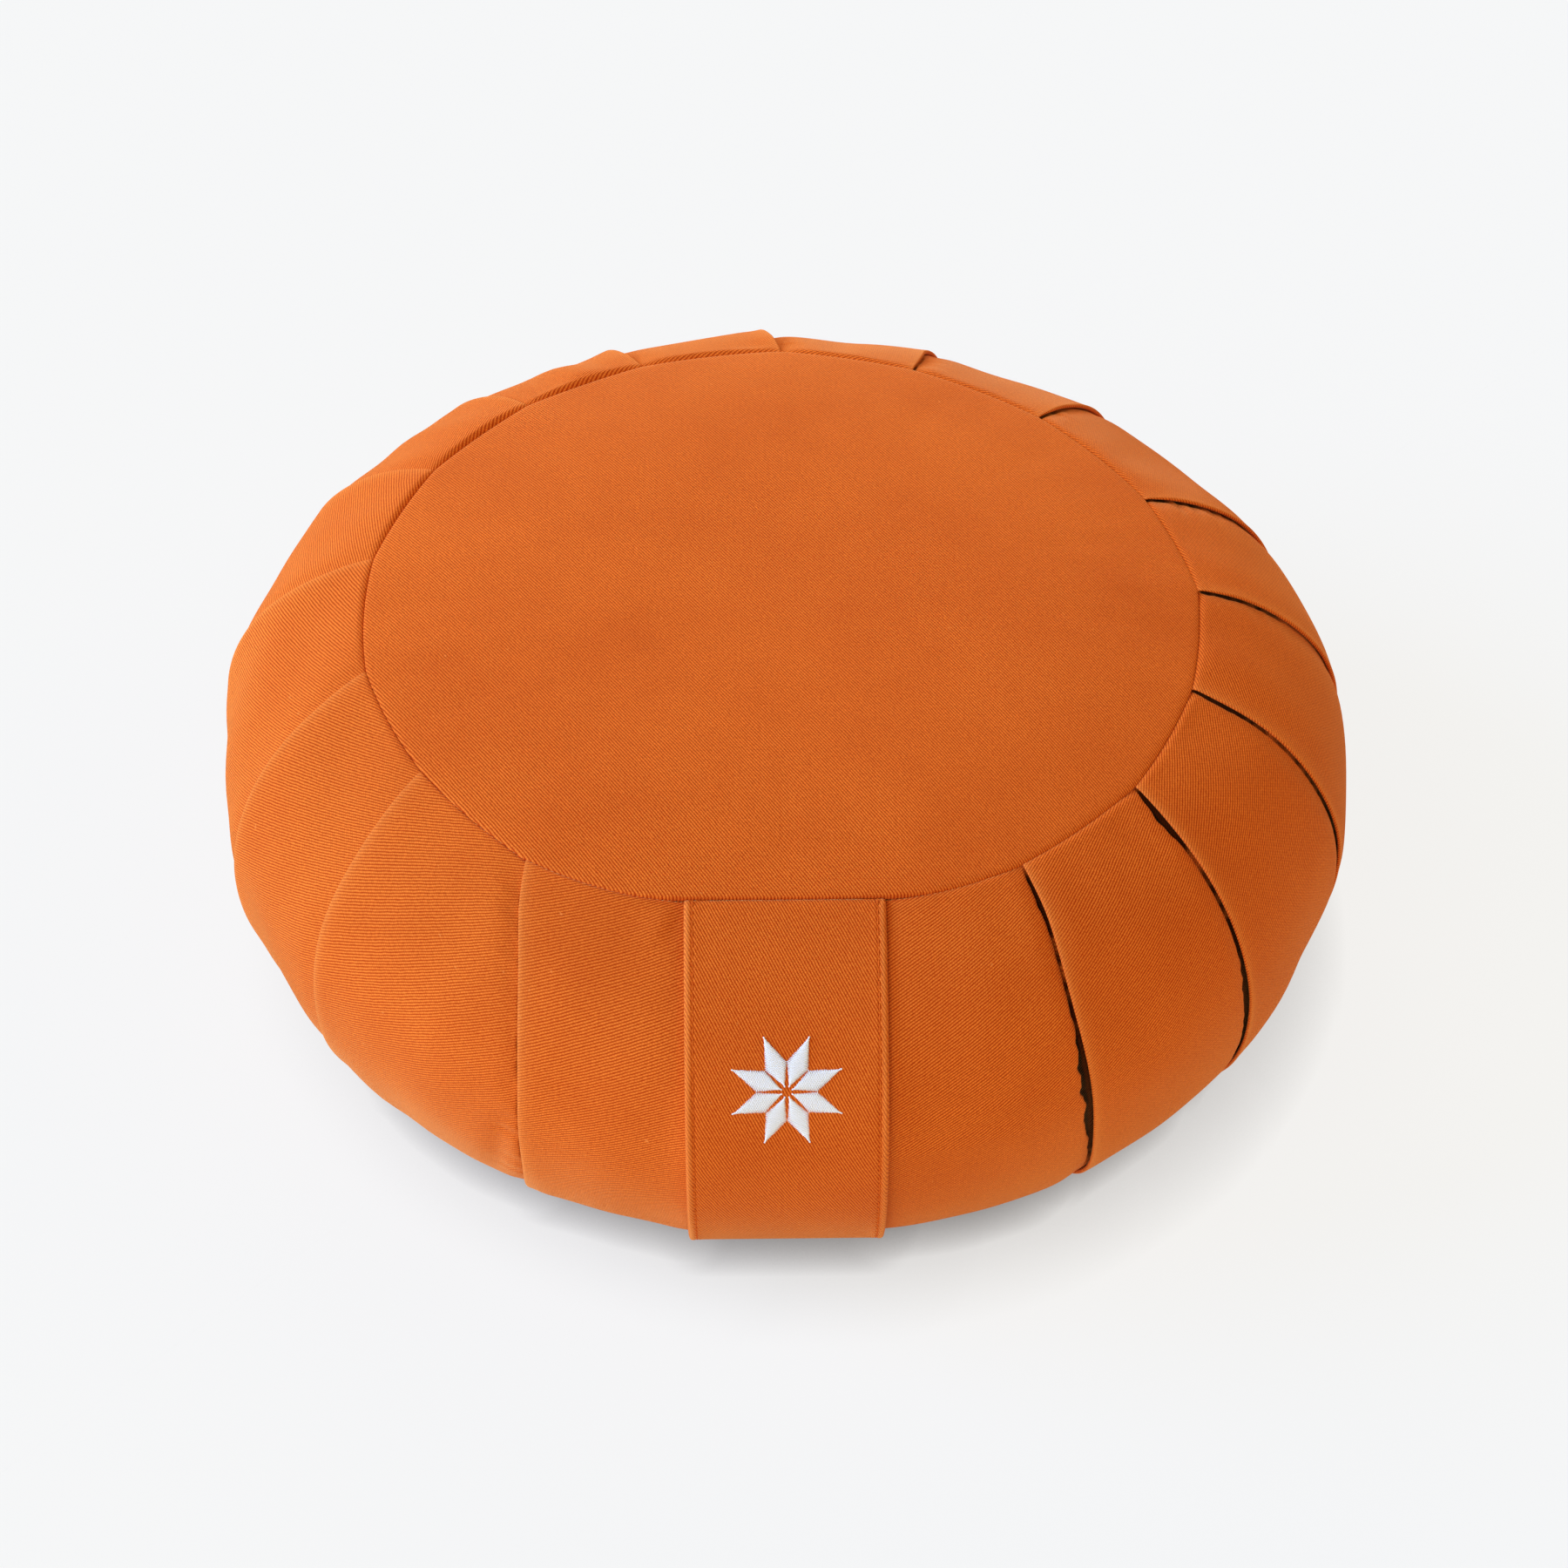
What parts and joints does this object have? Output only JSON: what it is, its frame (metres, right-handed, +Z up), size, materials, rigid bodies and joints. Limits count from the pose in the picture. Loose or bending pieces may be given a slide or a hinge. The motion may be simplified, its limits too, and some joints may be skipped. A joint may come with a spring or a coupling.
{
  "type": "pleated meditation cushion",
  "caption": "Round floor cushion for seated meditation: crowned top panel, side band laid in knife pleats, flat base and a straight stitched closing flap at the front.",
  "frame": {"origin": "on the floor, in the middle of the flat bottom panel", "axes": "+Z up through the crown, -Y to the front where the closing flap is, +X to the right seen from the front"},
  "size_m": [0.3301, 0.3327, 0.1277],
  "materials": {
    "orange_twill": "matt cotton twill"
  },
  "bodies": {
    "root": {"pleated_side": "orange_twill", "top_panel": "orange_twill", "bottom_panel": "orange_twill", "closing_flap": "orange_twill"}
  },
  "joints": []
}
